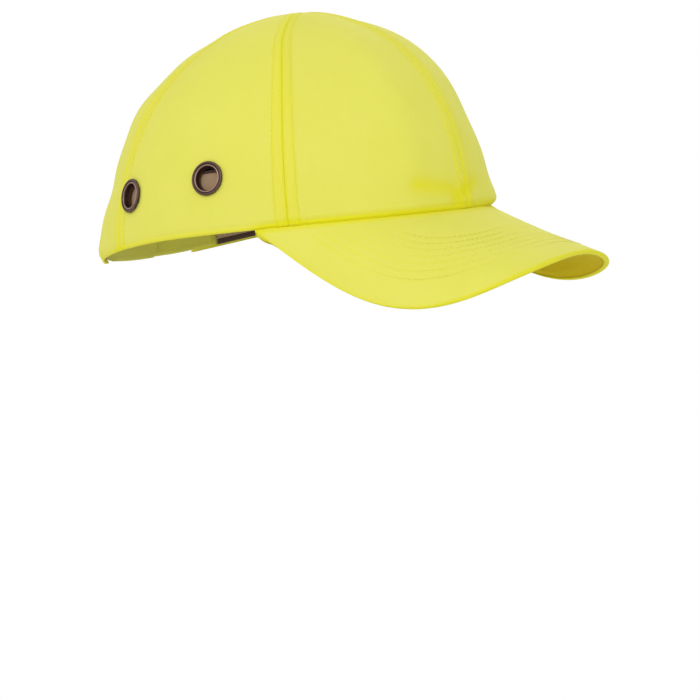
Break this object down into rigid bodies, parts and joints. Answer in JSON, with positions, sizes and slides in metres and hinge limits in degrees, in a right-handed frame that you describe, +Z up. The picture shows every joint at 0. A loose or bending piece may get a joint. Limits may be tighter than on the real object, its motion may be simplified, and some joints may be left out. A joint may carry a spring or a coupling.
{
  "type": "bump cap",
  "caption": "Hi-vis yellow cloth baseball-style bump cap: panelled crown, long curved stitched peak, brass vent eyelets, rear strap closure and lift-out slotted shell with foam pads.",
  "frame": {"origin": "centre of the head opening, level with the seam where the crown meets the middle of the peak", "axes": "+Z up along the head's axis, +Y towards the back of the head (the peak points along -Y), +X towards the wearer's left"},
  "size_m": [0.1906, 0.2787, 0.1573],
  "materials": {
    "hi_vis_cloth": "fluorescent yellow poly-cotton twill, matt",
    "seam_tape": "folded cotton tape over the seams",
    "peak_board": "stiff polyethylene board",
    "sweatband": "tan absorbent band with a dark bound edge",
    "antique_brass": "dark antique-bronze plating, rubbed bright on the rolled rim",
    "webbing": "flat woven yellow webbing",
    "hook_and_loop": "black hook-and-loop tape",
    "shell_plastic": "black moulded ABS with a fine texture",
    "pad_foam": "cloth-faced closed-cell foam"
  },
  "bodies": {
    "cap": {"front_panel_right": "hi_vis_cloth", "front_panel_left": "hi_vis_cloth", "side_panel_right": "hi_vis_cloth", "side_panel_left": "hi_vis_cloth", "back_panel_right": "hi_vis_cloth", "back_panel_left": "hi_vis_cloth", "seam_tape_front": "seam_tape", "seam_tape_side_right": "seam_tape", "seam_tape_side_left": "seam_tape", "seam_tape_rear_right": "seam_tape", "seam_tape_rear_left": "seam_tape", "seam_tape_back": "seam_tape", "peak_top_cover": "hi_vis_cloth", "peak_board": "peak_board", "peak_under_cover": "hi_vis_cloth", "sweatband": "sweatband", "eyelet_front_right": "antique_brass", "eyelet_front_left": "antique_brass", "eyelet_rear_right": "antique_brass", "eyelet_rear_left": "antique_brass", "eyelet_washer_front_right": "antique_brass", "eyelet_washer_front_left": "antique_brass", "eyelet_washer_rear_right": "antique_brass", "eyelet_washer_rear_left": "antique_brass", "arch_binding": "hi_vis_cloth", "strap_anchor_left": "webbing", "strap_tab_right": "webbing", "strap_loop_patch": "hook_and_loop", "insert_loop_front_right": "hook_and_loop", "insert_loop_front_left": "hook_and_loop", "insert_loop_rear_right": "hook_and_loop", "insert_loop_rear_left": "hook_and_loop"},
    "insert": {"bump_shell": "shell_plastic", "pad_front": "pad_foam", "pad_crown": "pad_foam", "pad_rear": "pad_foam", "pad_side_right": "pad_foam", "pad_side_left": "pad_foam", "insert_hook_front_right": "hook_and_loop", "insert_hook_front_left": "hook_and_loop", "insert_hook_rear_right": "hook_and_loop", "insert_hook_rear_left": "hook_and_loop"},
    "strap": {"closure_strap": "webbing", "strap_hook_patch": "hook_and_loop"}
  },
  "joints": [
    {"name": "closure_strap_peel", "type": "hinge", "parent": "cap", "child": "strap", "pos_m": [0.02857, 0.10085, 0.00585], "axis": [-0.0013, 0.2125, -0.9772], "range_deg": [0, 120]},
    {"name": "insert_slide", "type": "slide", "parent": "cap", "child": "insert", "axis": [0, 0, -1], "range_m": [0, 0.14]}
  ]
}
